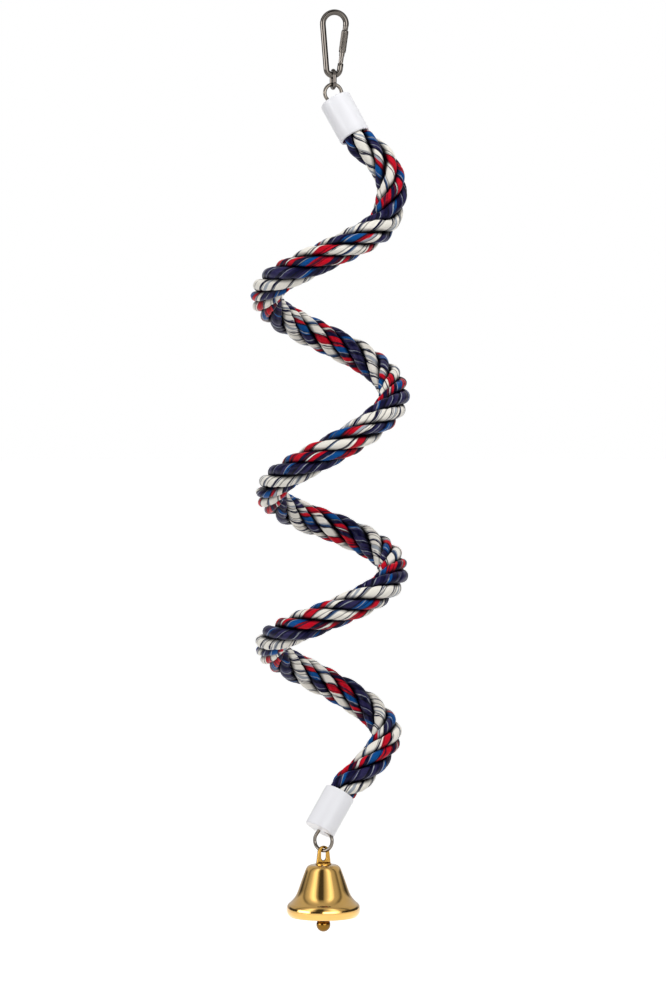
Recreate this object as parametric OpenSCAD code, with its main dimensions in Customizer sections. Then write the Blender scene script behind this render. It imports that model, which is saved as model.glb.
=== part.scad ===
// Hanging spiral perch: a coil of wire-cored rope with a snap hook above and a bell below.
// The origin is the point inside the hook's bow that a hanger bears on. +Z is up.
// The coil is right-handed. +X is to the right of the front view, and -Y faces it.

/* [Hook] */
// Diameter of the hook's wire
hook_wire_d = 2.6; // [2.4:0.1:3]
// Radius of the wide bow, to the middle of the wire
bow_r = 5.15; // [4.8:0.05:6]
// Radius of the narrow bend, to the middle of the wire
bend_r = 3; // [2.8:0.05:3.4]
// Distance between the centres of the bow and the bend
hook_span = 20.05; // [19:0.05:24]
// Lean of the hook from upright
hook_lean = 1.6; // [0:0.2:5]
// Diameter of the gate
gate_d = 2.4; // [2.2:0.1:2.5]
// Wall of the lock sleeve
sleeve_wall = 0.275; // [0.225:0.025:0.475]
// Length of the lock sleeve
sleeve_l = 9.9; // [8:0.1:10]

/* [Link] */
// Diameter of the link's wire
link_wire_d = 1.6; // [1.4:0.1:1.8]
// Length of the link, outside
link_l = 9.5; // [9.2:0.1:12]
// Inner width of the link
link_gap = 3.6; // [3.4:0.1:4.4]
// Turn of the link and of the top eye about the vertical
link_yaw = 17; // [0:1:25]

/* [Eyes] */
// Diameter of the eyes' wire
eye_wire_d = 1.6; // [1.4:0.1:1.7]
// Radius of the top eye, to the middle of the wire
top_eye_r = 3.9; // [3.7:0.1:5]
// Radius of the bottom eye, to the middle of the wire
bottom_eye_r = 4.45; // [4.2:0.05:5.6]
// Lean of the top eye towards the left
top_eye_lean = 21; // [10:1:25]
// Depth of the point where the top eye's legs meet, inside the cap's end
top_inset = 1.9; // [1.6:0.1:2.3]
// Depth of the point where the bottom eye's legs meet, inside the cap's end
bottom_inset = 1.1; // [1:0.1:1.6]
// Lean of the bottom eye towards the right
bottom_eye_lean = 14; // [5:1:18]
// Turn of the bottom eye about the vertical
bottom_eye_yaw = -30; // [-34:1:-28]

/* [Caps] */
// Outer diameter of the end caps
cap_d = 14.2; // [13.8:0.1:16]
// Length of the end caps
cap_l = 19.4; // [19.2:0.2:24]
// Wall of the end caps
cap_wall = 1.2; // [0.9:0.1:1.5]
// Thickness of the end caps' closed end
cap_end_t = 1.6; // [1.2:0.1:1.8]
// Lean of the top cap from upright
top_cap_lean = 31.2; // [20:0.2:36]
// Lean of the bottom cap from upright
bottom_cap_lean = 34.2; // [25:0.2:36]
// Outer diameter of the crimp sleeves that join the eyes to the core wire
crimp_d = 4.4; // [4:0.1:5]
// Length of the crimp sleeves
crimp_l = 2.2; // [2:0.1:2.3]

/* [Rope] */
// Diameter of the rope
rope_d = 13.8; // [12:0.1:15]
// Diameter of the rope where the caps grip it
rope_end_d = 11.2; // [9:0.1:11.4]
// Diameter of the core wire
core_d = 2.2; // [1.6:0.1:2.4]
// Radius of the coil, to the middle of the rope
coil_r = 27.5; // [24:0.5:34]
// Drop of the rope over its three full turns
coil_h = 240.6; // [220:0.2:300]
// Tilt of the coil's axis, its top towards the front
coil_lean = 4; // [0:0.5:6]

/* [Bell] */
// Diameter of the bell's mouth
bell_d = 33; // [30:0.5:40]
// Height of the bell's shell
bell_h = 23.1; // [20:0.1:28]
// Wall of the bell
bell_wall = 1.1; // [0.9:0.1:1.4]
// Width of the lug at its foot
lug_w = 7.2; // [6.8:0.1:8.4]
// Width of the lug at its top
lug_top_w = 5.9; // [5.6:0.1:6.4]
// Thickness of the lug
lug_t = 1.1; // [0.9:0.1:1.2]
// Width of the window in the lug
window_w = 2.7; // [2.6:0.1:2.9]
// Turn of the lug about the vertical
lug_yaw = 32; // [28:1:36]
// Diameter of the washer under the lug
washer_d = 7; // [6.4:0.1:8]
// Diameter of the clapper's ball
ball_d = 6.3; // [5.5:0.1:8]

/* [Hidden] */
fine = 48;
over = 0.5;
fit_gap = 0.05;
slack = 0.12;
step = 0.03;
lap = 0.2;
seat_gap = 0.15;

// Hook: the wire runs round the bow, down the left arm and round the bend to the hinge
bow_clear_r = bow_r - hook_wire_d / 2;
bow_z = -bow_clear_r;
arm_slope = asin((bow_r - bend_r) / hook_span);
arm_l = hook_span * cos(arm_slope);
bend_x = -hook_span * sin(hook_lean);
bend_z = bow_z - hook_span * cos(hook_lean);
hinge_up = 4.3;
hinge_shoulder_drop = 1.5;
tongue_t = 1.1;
tongue_w = 2;
nose_gap = 0.15;
nose_l = 1.7;
nose_end = 2.25;
nose_d = gate_d;
gate_bore_d = 1.4;
gate_bore_l = 9.6;
gate_slot_rise = 1.75;
gate_slot_w = tongue_t + 4 * fit_gap;
rivet_d = 0.9;
gate_top = arm_l - nose_end - nose_gap;
plunger_d = gate_bore_d - 4 * fit_gap;
plunger_l = 2.4;
spring_d = gate_bore_d - 2 * fit_gap;
spring_wire_d = 0.3;
sleeve_gap = 0.125;
sleeve_bore_d = gate_d + 2 * sleeve_gap;
sleeve_d = sleeve_bore_d + 2 * sleeve_wall;
sleeve_bottom = gate_top - sleeve_l;

// Link: it hangs on the hook's bend and carries the top eye
bend_low_z = bend_z - bend_r + hook_wire_d / 2;
link_arc_r = link_gap / 2 + link_wire_d / 2;
link_top_z = bend_low_z + seat_gap + link_wire_d;
link_low_z = link_top_z - link_l;
link_straight_l = link_l - 2 * (link_arc_r + link_wire_d / 2);
link_pin_z = link_low_z + link_wire_d / 2;

// Eyes: a round loop whose two legs meet inside the cap, above a short stem
eye_open = 40;
eye_reach_share = 1 / cos(eye_open);
stem_d = 1.9;
neck_d = 2.4;
leg_start = 0.75;
stem_drop = 0.35;
top_eye_z = link_low_z + link_wire_d + seat_gap + eye_wire_d / 2;
top_cap_heading = 153;
bottom_cap_heading = -147.7;
top_out = [sin(top_cap_lean) * cos(top_cap_heading),
           sin(top_cap_lean) * sin(top_cap_heading), cos(top_cap_lean)];
bottom_out = [sin(bottom_cap_lean) * cos(bottom_cap_heading),
              sin(bottom_cap_lean) * sin(bottom_cap_heading), -cos(bottom_cap_lean)];
top_eye_axis = [-sin(top_eye_lean) * cos(link_yaw), -sin(top_eye_lean) * sin(link_yaw),
                cos(top_eye_lean)];
top_meet = [bend_x, 0, top_eye_z - top_eye_r] - top_eye_axis * top_eye_r * eye_reach_share;
top_face = top_meet + top_out * top_inset;
bottom_mouth = [2.567, -3.173, -347.055];
bottom_face = bottom_mouth + bottom_out * cap_l;
bottom_meet = bottom_face - bottom_out * bottom_inset;
bottom_eye_axis = [sin(bottom_eye_lean) * cos(bottom_eye_yaw),
                   sin(bottom_eye_lean) * sin(bottom_eye_yaw), -cos(bottom_eye_lean)];
bell_pin = bottom_meet + bottom_eye_axis * bottom_eye_r * eye_reach_share - [0, 0, bottom_eye_r];

// Caps: the rope fills each cap up to the crimp that lies beyond its end
cap_bore_d = cap_d - 2 * cap_wall;
top_crimp_start = top_inset + neck_d / 2 + fit_gap;
bottom_crimp_start = bottom_inset + neck_d / 2 + fit_gap;
crimp_bore_d = max(stem_d, core_d) + 2 * fit_gap;
grip_l = cap_l - top_crimp_start - crimp_l - seat_gap;

// Rope: right-handed turns, counted from the first turning point on the right
coil_x = -1.6;
coil_y = 3;
coil_top_z = -86;
coil_mid_z = coil_top_z - coil_h / 2;
drop_shares = [0, 0.165, 0.345, 0.53, 0.672, 0.817, 1];
radius_shares = [0.975, 1.055, 1.025, 0.98, 1.015, 0.99, 0.98];
half_turns = len(drop_shares) - 1;
first_angle = 35;
last_angle = 1055;
loop_rings = 24;
rope_sides = 16;
core_sides = 6;
core_hole_d = 3.2;
lead_rings = 3;
lead_in = [[21.4, -7.5, -66.1], [25.4, -12, -79.1]];
lead_out = [[23.6, 15.6, -324.2], [19.2, 8.6, -331], [12.6, 2.8, -338.2]];
top_mouth = top_face - top_out * cap_l;

// Bell: everything below hangs from the bottom eye's lowest point
window_gap = 0.24;
window_top = eye_wire_d / 2 + window_gap;
window_l = 5.3;
lug_bar_t = 1.2;
lug_foot_z = -5.5;
washer_t = 0.6;
shank_d = 2.4;
shank_fit_d = shank_d + 2 * slack;
crown_z = lug_foot_z - washer_t;
hanger_d = 5;
hanger_h = 2.6;
hanger_loop_r = 1.3;
hanger_wire_d = 1;
hanger_neck = 0.6;
shank_l = washer_t + bell_wall + hanger_h - 0.8;
hook_ring_r = 1.25;
hook_ring_d = 0.9;
clapper_pin_z = crown_z - bell_wall - hanger_h - hanger_neck - hanger_loop_r;
clapper_rod_d = 1.2;
ball_below_lip = 3.8;
ball_z = crown_z - bell_h - ball_below_lip;
ball_bore_l = 4;
bell_r = bell_d / 2;
// Outline of the bell from crown to lip: share of the mouth's radius, share of the height
bell_shares = [[0.3, 0], [0.4, 0.02], [0.468, 0.075], [0.52, 0.165], [0.585, 0.29],
               [0.645, 0.41], [0.7, 0.52], [0.745, 0.6], [0.82, 0.675], [0.925, 0.745],
               [0.985, 0.82], [1, 0.9], [0.975, 0.965], [0.93, 1]];
bell_wall_share = bell_wall / bell_r;
bell_crown_share = bell_wall / bell_h;
// Its inner face: the same outline drawn in by the wall, with a plainer lip
bell_inner_shares = [[0.885, 1], [0.93, 0.93], [0.915, 0.84], [0.84, 0.765],
                     [0.74, 0.7], [0.665, 0.6], [0.62, 0.52], [0.565, 0.41],
                     [0.505, 0.29], [0.44, 0.175], [0.385, 0.105], [0.3, 0.0525], [0, 0.0525]];

// Point on a smooth curve through values at whole numbers
function smooth(v, t) =
    let (last = len(v) - 1, i = min(max(floor(t), 0), last - 1), f = t - i,
         b = v[i], c = v[i + 1],
         a = i > 0 ? v[i - 1] : 2 * b - c, d = i + 2 <= last ? v[i + 2] : 2 * c - b)
    (2 * b + (c - a) * f + (2 * a - 5 * b + 4 * c - d) * f * f
     + (3 * b - a - 3 * c + d) * f * f * f) / 2;

function unit(v) = v / norm(v);

// Middle of the rope at a turn angle: 0 is right, 90 is front, 180 is left
function coil_axis_y(z) = coil_y - tan(coil_lean) * (z - coil_mid_z);
function coil_point(a) =
    let (z = coil_top_z - coil_h * smooth(drop_shares, a / 180),
         r = coil_r * smooth(radius_shares, a / 180))
    [coil_x + r * cos(a), coil_axis_y(z) - r * sin(a) * cos(coil_lean),
     z - r * sin(a) * sin(coil_lean)];

coil_step = 360 / loop_rings;
coil_points = [for (a = [first_angle : coil_step : last_angle]) coil_point(a)];

// A lead between the coil and a cap, through its own chosen points
function lead_point(p, i, f) =
    let (a = p[i - 1], b = p[i], c = p[i + 1], d = p[i + 2],
         ta = 0, tb = ta + sqrt(norm(b - a)), tc = tb + sqrt(norm(c - b)),
         td = tc + sqrt(norm(d - c)), t = tb + (tc - tb) * f,
         ab = ((tb - t) * a + (t - ta) * b) / (tb - ta),
         bc = ((tc - t) * b + (t - tb) * c) / (tc - tb),
         cd = ((td - t) * c + (t - tc) * d) / (td - tc),
         abc = ((tc - t) * ab + (t - ta) * bc) / (tc - ta),
         bcd = ((td - t) * bc + (t - tb) * cd) / (td - tb))
    ((tc - t) * abc + (t - tb) * bcd) / (tc - tb);
function lead(p) =
    [for (i = [1 : len(p) - 3], k = [0 : lead_rings - 1]) lead_point(p, i, k / lead_rings)];

last_coil = len(coil_points) - 1;
in_points = concat([top_mouth + top_out * norm(lead_in[0] - top_mouth), top_mouth],
                   lead_in, [coil_points[0], coil_points[1]]);
out_points = concat([coil_points[last_coil - 1], coil_points[last_coil]], lead_out,
                    [bottom_mouth, bottom_mouth + bottom_out * norm(lead_out[0] - bottom_mouth)]);
top_grip = [for (t = [grip_l, grip_l / 2, 0]) top_mouth + top_out * t];
bottom_grip = [for (t = [0, grip_l / 2, grip_l]) bottom_mouth + bottom_out * t];
lead_in_points = lead(in_points);
lead_out_points = lead(out_points);
rope_path = concat(top_grip,
                   [for (i = [1 : len(lead_in_points) - 1]) lead_in_points[i]],
                   coil_points,
                   [for (i = [1 : len(lead_out_points) - 1]) lead_out_points[i]],
                   bottom_grip);
last_ring = len(rope_path) - 1;
core_path = concat([top_mouth + top_out * (cap_l - top_crimp_start - crimp_l / 2 - fit_gap)],
                   rope_path,
                   [bottom_mouth + bottom_out * (cap_l - bottom_crimp_start - crimp_l / 2 - fit_gap)]);

function tangent(p, i) =
    let (last = len(p) - 1)
    unit(i == 0 ? p[1] - p[0] : i == last ? p[last] - p[last - 1]
         : unit(p[i + 1] - p[i]) + unit(p[i] - p[i - 1]));
function outward(q) = [q[0] - coil_x, q[1] - coil_axis_y(q[2]), 0];
function ring(p, i, r, sides) =
    let (t = tangent(p, i), w = outward(p[i]), u = unit(w - (w * t) * t), v = cross(t, u))
    [for (k = [0 : sides - 1]) p[i] + r * (u * cos(k * 360 / sides) + v * sin(k * 360 / sides))];

function wall_faces(rings, sides, first, flip) =
    [for (i = [0 : rings - 2], k = [0 : sides - 1], half = [0, 1])
        let (a = first + i * sides + k, b = first + i * sides + (k + 1) % sides,
             c = b + sides, d = a + sides,
             f = half == 0 ? [a, b, c] : [a, c, d])
        flip ? [f[2], f[1], f[0]] : f];

// Faces are seen clockwise from outside
module tube(p, radii, sides, hole_r = 0) {
    rings = len(p);
    outer = [for (i = [0 : rings - 1]) each ring(p, i, radii[i], sides)];
    inner_sides = core_sides;
    inner = [for (i = [0 : rings - 1]) each ring(p, i, hole_r, inner_sides)];
    first = rings * sides;
    if (hole_r == 0) {
        polyhedron(outer, concat(
            wall_faces(rings, sides, 0, true),
            [[for (k = [0 : sides - 1]) k]],
            [[for (k = [0 : sides - 1]) first - 1 - k]]));
    } else {
        difference() {
            polyhedron(outer, concat(
                wall_faces(rings, sides, 0, true),
                [[for (k = [0 : sides - 1]) k]],
                [[for (k = [0 : sides - 1]) first - 1 - k]]));
            polyhedron(inner, concat(
                wall_faces(rings, inner_sides, 0, true),
                [[for (k = [0 : inner_sides - 1]) k]],
                [[for (k = [0 : inner_sides - 1]) rings * inner_sides - 1 - k]]));
        }
    }
}

module arc_wire(r, d, from, span) {
    rotate([90, 0, 0]) rotate([0, 0, from])
        rotate_extrude(angle = span, $fn = fine) translate([r, 0]) circle(d = d, $fn = fine / 2);
}

// Frame of the hook, with its origin at the bow's centre
module hook_frame() {
    translate([0, 0, bow_z]) rotate([0, hook_lean, 0]) children();
}

// Frame of the gate arm, with its origin where the arm leaves the bend
module arm_frame() {
    hook_frame()
        translate([bend_r * cos(arm_slope), 0, -hook_span - bend_r * sin(arm_slope)])
            rotate([0, arm_slope, 0]) children();
}

module cross_pin(d, l, h) {
    translate([0, 0, h]) rotate([90, 0, 0]) cylinder(d = d, h = l, center = true, $fn = fine / 2);
}

module carabiner_body() color("dimgray") {
    hook_frame() {
        arc_wire(bow_r, hook_wire_d, -arm_slope, 180 + 2 * arm_slope);
        translate([0, 0, -hook_span])
            arc_wire(bend_r, hook_wire_d, 180 + arm_slope, 180 - 2 * arm_slope);
        translate([-bow_r * cos(arm_slope), 0, -bow_r * sin(arm_slope)])
            rotate([0, -arm_slope, 0]) translate([0, 0, -arm_l - lap])
                cylinder(d = hook_wire_d + 2 * step, h = arm_l + 2 * lap, $fn = fine / 2);
    }
    arm_frame() {
        translate([0, 0, arm_l - nose_end + nose_l])
            cylinder(d = hook_wire_d + 2 * step, h = nose_end - nose_l + lap, $fn = fine / 2);
        translate([0, 0, arm_l - nose_end])
            cylinder(d = nose_d, h = nose_l + lap, $fn = fine / 2);
        translate([0, 0, -lap]) cylinder(d = hook_wire_d + 2 * step,
            h = hinge_up - hinge_shoulder_drop + lap, $fn = fine / 2);
        difference() {
            union() {
                translate([-tongue_w / 2, -tongue_t / 2, hinge_up - hinge_shoulder_drop - lap])
                    cube([tongue_w, tongue_t, hinge_shoulder_drop + lap]);
                cross_pin(tongue_w - 2 * step, tongue_t, hinge_up);
            }
            cross_pin(rivet_d + 2 * fit_gap, hook_wire_d, hinge_up);
        }
    }
}

module carabiner_gate() color("gray") arm_frame() difference() {
    union() {
        translate([0, 0, hinge_up]) cylinder(d = gate_d, h = gate_top - hinge_up, $fn = fine / 2);
        intersection() {
            translate([0, 0, hinge_up - gate_d / 2]) cylinder(d = gate_d, h = gate_d, $fn = fine / 2);
            cross_pin(gate_d, gate_d + over, hinge_up);
        }
    }
    translate([-gate_d, -gate_slot_w / 2, hinge_up - gate_d])
        cube([2 * gate_d, gate_slot_w, gate_d + gate_slot_rise]);
    translate([0, 0, hinge_up]) cylinder(d = gate_bore_d, h = gate_bore_l, $fn = fine / 2);
    cross_pin(rivet_d + 2 * fit_gap, gate_d + over, hinge_up);
}

module gate_rivet() color("silver") arm_frame()
    cross_pin(rivet_d, gate_d, hinge_up);

module gate_plunger() color("silver") arm_frame()
    translate([0, 0, hinge_up + tongue_w / 2 + fit_gap])
        cylinder(d = plunger_d, h = plunger_l, $fn = fine / 2);

module gate_spring() color("silver") arm_frame() {
    foot = hinge_up + tongue_w / 2 + fit_gap + plunger_l + fit_gap;
    translate([0, 0, foot]) difference() {
        cylinder(d = spring_d, h = hinge_up + gate_bore_l - fit_gap - foot, $fn = fine / 2);
        translate([0, 0, -over])
            cylinder(d = spring_d - 2 * spring_wire_d, h = gate_bore_l, $fn = fine / 2);
    }
}

module lock_sleeve() color("gray") arm_frame() translate([0, 0, sleeve_bottom]) difference() {
    cylinder(d = sleeve_d, h = sleeve_l, $fn = fine);
    translate([0, 0, -over]) cylinder(d = sleeve_bore_d, h = sleeve_l + 2 * over, $fn = fine);
}

module top_link() color("dimgray")
    translate([bend_x, 0, link_top_z - link_wire_d / 2 - link_arc_r]) rotate([0, 0, link_yaw + 90]) {
        arc_wire(link_arc_r, link_wire_d, 0, 180);
        translate([0, 0, -link_straight_l]) {
            arc_wire(link_arc_r, link_wire_d, 180, 180);
            for (side = [-1, 1]) translate([side * link_arc_r, 0, 0])
                cylinder(d = link_wire_d, h = link_straight_l, $fn = fine / 2);
        }
    }

// Loop of an eye: its legs meet in a round neck at the origin, and the loop lies along +Z
module eye_legs(l, grow = 0) {
    sphere(d = neck_d + 2 * grow, $fn = fine);
    for (side = [-1, 1]) rotate([0, side * (90 - eye_open), 0]) translate([0, 0, leg_start])
        cylinder(d = eye_wire_d + 2 * step + 2 * grow, h = l - leg_start, $fn = fine / 2);
}
module eye_loop(r) {
    eye_legs(r * tan(eye_open) + lap);
    translate([0, 0, r * eye_reach_share]) arc_wire(r, eye_wire_d, -90 + eye_open, 360 - 2 * eye_open);
}

// Frame of an end fitting: its origin is the cap's closed end, and +Z leaves the rope
module top_frame() {
    translate(top_face) rotate([0, 0, top_cap_heading]) rotate([0, top_cap_lean, 0])
        rotate([0, 0, -top_cap_heading]) children();
}
module bottom_frame() {
    translate(bottom_face) rotate([0, 0, bottom_cap_heading])
        rotate([0, 180 - bottom_cap_lean, 0]) rotate([0, 0, -bottom_cap_heading]) children();
}

module eye_stem(inset, crimp_start) {
    translate([0, 0, -crimp_start - crimp_l / 2])
        cylinder(d = stem_d, h = crimp_start + crimp_l / 2 - inset - stem_drop, $fn = fine / 2);
}

module top_eye_place() {
    translate(top_meet) rotate([0, -top_eye_lean, link_yaw]) children();
}
module bottom_eye_place() {
    translate(bottom_meet) rotate([180, -bottom_eye_lean, bottom_eye_yaw]) children();
}

module cap_shell() {
    difference() {
        translate([0, 0, -cap_l]) cylinder(d = cap_d, h = cap_l, $fn = 2 * fine);
        translate([0, 0, -cap_l - over])
            cylinder(d = cap_bore_d, h = cap_l - cap_end_t + over, $fn = 2 * fine);
    }
}

module crimp(start) {
    translate([0, 0, -start - crimp_l]) difference() {
        cylinder(d = crimp_d, h = crimp_l, $fn = fine);
        translate([0, 0, -over])
            cylinder(d = crimp_bore_d, h = crimp_l + 2 * over, $fn = fine / 2);
    }
}

module top_eye() color("silver") {
    top_eye_place() eye_loop(top_eye_r);
    top_frame() eye_stem(top_inset, top_crimp_start);
}
module top_crimp() color("gray") top_frame() crimp(top_crimp_start);
module top_cap() color("white") difference() {
    top_frame() cap_shell();
    top_eye_place() eye_legs(2 * top_eye_r, slack);
}

rope_radii = [for (i = [0 : last_ring])
    i < 3 || i > last_ring - 3 ? rope_end_d / 2 : rope_d / 2];

module perch_rope() color("navy") tube(rope_path, rope_radii, rope_sides, core_hole_d / 2);

module core_wire() color("silver")
    tube(core_path, [for (q = core_path) core_d / 2], core_sides);

module bottom_cap() color("white") difference() {
    bottom_frame() cap_shell();
    bottom_eye_place() eye_legs(2 * bottom_eye_r, slack);
}
module bottom_crimp() color("gray") bottom_frame() crimp(bottom_crimp_start);
module bottom_eye() color("silver") {
    bottom_eye_place() eye_loop(bottom_eye_r);
    bottom_frame() eye_stem(bottom_inset, bottom_crimp_start);
}

// Frame of the bell: its origin is the middle of the wire that it hangs on
module bell_frame() {
    translate(bell_pin) children();
}

module bell_lug() color("goldenrod") bell_frame() rotate([0, 0, lug_yaw]) {
    shoulder_z = window_top + lug_bar_t - lug_top_w / 2;
    difference() {
        rotate([90, 0, 0]) translate([0, 0, -lug_t / 2]) {
            translate([0, shoulder_z]) cylinder(d = lug_top_w, h = lug_t, $fn = fine);
            linear_extrude(lug_t) polygon([[-lug_w / 2, lug_foot_z], [lug_w / 2, lug_foot_z],
                                           [lug_top_w / 2, shoulder_z], [-lug_top_w / 2, shoulder_z]]);
        }
        rotate([90, 0, 0]) translate([0, 0, -lug_t]) {
            translate([0, window_top - window_w / 2])
                cylinder(d = window_w, h = 2 * lug_t, $fn = fine);
            translate([0, window_top - window_l + window_w / 2])
                cylinder(d = window_w, h = 2 * lug_t, $fn = fine);
            translate([-window_w / 2, window_top - window_l + window_w / 2])
                cube([window_w, window_l - window_w, 2 * lug_t]);
        }
    }
    translate([0, 0, lug_foot_z - shank_l]) cylinder(d = shank_d, h = shank_l, $fn = fine);
}

module lug_washer() color("goldenrod") bell_frame() translate([0, 0, crown_z]) difference() {
    cylinder(d = washer_d, h = washer_t, $fn = fine);
    translate([0, 0, -over]) cylinder(d = shank_fit_d, h = washer_t + 2 * over, $fn = fine);
}

module bell_shell() color("gold") bell_frame() translate([0, 0, crown_z]) difference() {
    rotate_extrude($fn = 2 * fine) polygon(concat(
        [[0, 0]],
        [for (s = bell_shares) [s[0] * bell_r, -s[1] * bell_h]],
        [for (s = bell_inner_shares) [s[0] * bell_r, -s[1] * bell_h]]));
    translate([0, 0, -2 * bell_wall]) cylinder(d = shank_fit_d, h = 3 * bell_wall, $fn = fine);
}

module clapper_hanger() color("goldenrod") bell_frame()
    translate([0, 0, crown_z - bell_h * bell_inner_shares[12][1] - fit_gap]) {
        difference() {
            translate([0, 0, -hanger_h]) cylinder(d = hanger_d, h = hanger_h, $fn = fine);
            translate([0, 0, -hanger_h + 0.6])
                cylinder(d = shank_fit_d, h = hanger_h, $fn = fine);
        }
        translate([0, 0, -hanger_h - hanger_neck]) rotate([0, 0, 90]) {
            arc_wire(hanger_loop_r, hanger_wire_d, 180, 180);
            for (side = [-1, 1]) translate([side * hanger_loop_r, 0, 0])
                cylinder(d = hanger_wire_d, h = hanger_neck + over, $fn = fine / 2);
        }
    }

module clapper_wire() color("goldenrod") bell_frame() translate([0, 0, clapper_pin_z]) {
    ring_z = hanger_wire_d / 2 + slack + hook_ring_d / 2 - hook_ring_r;
    rod_top = ring_z - hook_ring_r;
    translate([0, 0, ring_z]) rotate([90, 0, 0]) rotate_extrude($fn = fine)
        translate([hook_ring_r, 0]) circle(d = hook_ring_d, $fn = fine / 2);
    translate([0, 0, ball_z - clapper_pin_z])
        cylinder(d = clapper_rod_d, h = rod_top - (ball_z - clapper_pin_z), $fn = fine / 2);
}

module clapper_ball() color("darkgoldenrod") bell_frame() translate([0, 0, ball_z]) difference() {
    sphere(d = ball_d, $fn = fine);
    translate([0, 0, -fit_gap])
        cylinder(d = clapper_rod_d + 2 * fit_gap, h = ball_d, $fn = fine / 2);
}

// Least gap between one turn of the rope and the next, on the rope's own rings
far_rings = loop_rings / 2;
least_reach = min([for (i = [0 : last_ring - far_rings], j = [i + far_rings : last_ring])
    norm(rope_path[i] - rope_path[j])]);
echo(least_gap_of_rope_to_itself = least_reach - rope_d);
echo(length_of_rope = [for (i = [1 : last_ring]) norm(rope_path[i] - rope_path[i - 1])]
     * [for (i = [1 : last_ring]) 1]);

carabiner_body();
carabiner_gate();
gate_rivet();
gate_plunger();
gate_spring();
lock_sleeve();
top_link();
top_eye();
top_crimp();
top_cap();
perch_rope();
core_wire();
bottom_cap();
bottom_crimp();
bottom_eye();
bell_lug();
lug_washer();
bell_shell();
clapper_hanger();
clapper_wire();
clapper_ball();
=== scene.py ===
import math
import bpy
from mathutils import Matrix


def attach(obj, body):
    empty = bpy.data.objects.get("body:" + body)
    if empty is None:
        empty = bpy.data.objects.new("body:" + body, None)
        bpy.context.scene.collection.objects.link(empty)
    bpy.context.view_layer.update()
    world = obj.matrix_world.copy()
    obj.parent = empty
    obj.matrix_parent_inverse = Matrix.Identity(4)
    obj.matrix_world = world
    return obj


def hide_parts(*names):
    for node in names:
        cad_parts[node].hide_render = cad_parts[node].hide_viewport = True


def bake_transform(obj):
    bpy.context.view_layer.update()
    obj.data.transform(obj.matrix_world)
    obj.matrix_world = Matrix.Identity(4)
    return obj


bl_info = {
    "name": "Spiral Rope Perch",
    "version": (1, 0, 0),
    "blender": (4, 5, 0),
    "location": "3D View > Sidebar > Perch",
    "description": "Builds the looks of a hanging spiral rope perch round its packed frame",
    "category": "Object",
}

import bmesh
import bpy
from bmesh.types import BMEdge, BMVert
from bpy.props import FloatProperty, FloatVectorProperty, IntProperty, PointerProperty
from bpy.types import Operator, Panel, PropertyGroup
from mathutils import Matrix, Vector, noise

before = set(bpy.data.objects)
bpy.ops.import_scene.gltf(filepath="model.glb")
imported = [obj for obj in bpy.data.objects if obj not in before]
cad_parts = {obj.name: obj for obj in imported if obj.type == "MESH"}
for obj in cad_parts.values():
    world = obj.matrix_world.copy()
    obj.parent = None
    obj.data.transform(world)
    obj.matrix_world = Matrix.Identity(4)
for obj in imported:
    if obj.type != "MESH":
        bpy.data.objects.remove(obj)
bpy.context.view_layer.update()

MM = 0.001
UP = Vector((0, 0, 1))
WIRE_SIDES = 40  # faces round a wire
PLIES = 3  # plies in a strand
FACET_ANGLE = 32  # degrees between faces that a copied CAD mesh keeps as an edge


def tint(code):
    """A colour written as its six hex digits, made linear."""
    parts = [int(code[i : i + 2], 16) / 255 for i in (0, 2, 4)]
    return tuple(p / 12.92 if p <= 0.04045 else ((p + 0.055) / 1.055) ** 2.4 for p in parts)


def colour(name, description, code):
    return FloatVectorProperty(
        name=name, description=description, default=tint(code), subtype="COLOR", min=0, max=1
    )


def length(name, description, millimetres):
    return FloatProperty(
        name=name, description=description, default=millimetres * MM, min=0, unit="LENGTH",
        precision=5,
    )


def turn(name, description, degrees):
    return FloatProperty(
        name=name, description=description, default=math.radians(degrees), unit="ROTATION"
    )


def power(name, description, watts):
    return FloatProperty(name=name, description=description, default=watts, unit="POWER")


def number(name, description, value, **limits):
    return IntProperty(name=name, description=description, default=value, **limits)


# ---------------------------------------------------------------- sizes and colours


class RopeSettings(PropertyGroup):
    strand_out: length("Strand centre", "From the rope's middle to a strand's middle", 4.35)
    strand_high: length("Strand height", "Half height of a strand, outwards", 2.6)
    strand_wide: length("Strand width", "Half width of a strand, along the rope's skin", 2.68)
    lay: length("Lay", "Length in which a strand goes once round the rope", 57)
    ply_lay: length("Ply lay", "Length in which the plies go once round their strand", 15.5)
    ply_dent: length("Ply dent", "Depth of the dent between two plies", 0.4)
    ring_step: length("Ring step", "Distance between rings of the mesh along the rope", 1.25)
    start_turn: turn("Start turn", "Turn of the lay about the rope", 14)
    sides: number("Sides", "Faces round a strand", 24, min=12, max=48)
    cream: colour("Cream", "Undyed cotton", "FFFAEF")
    navy: colour("Navy", "Darkest dyed yarn", "0B0932")
    plum: colour("Slate purple", "Greyish purple yarn", "2A264F")
    blue: colour("Blue", "Clear blue yarn", "004F95")
    red: colour("Red", "Clear red yarn", "D00A24")
    wine: colour("Wine", "Dark red yarn", "5E0C22")
    grey: colour("Grey", "Pale grey yarn", "A9B0BA")
    steel: colour("Slate blue", "Greyish blue yarn", "2C4A72")


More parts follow.
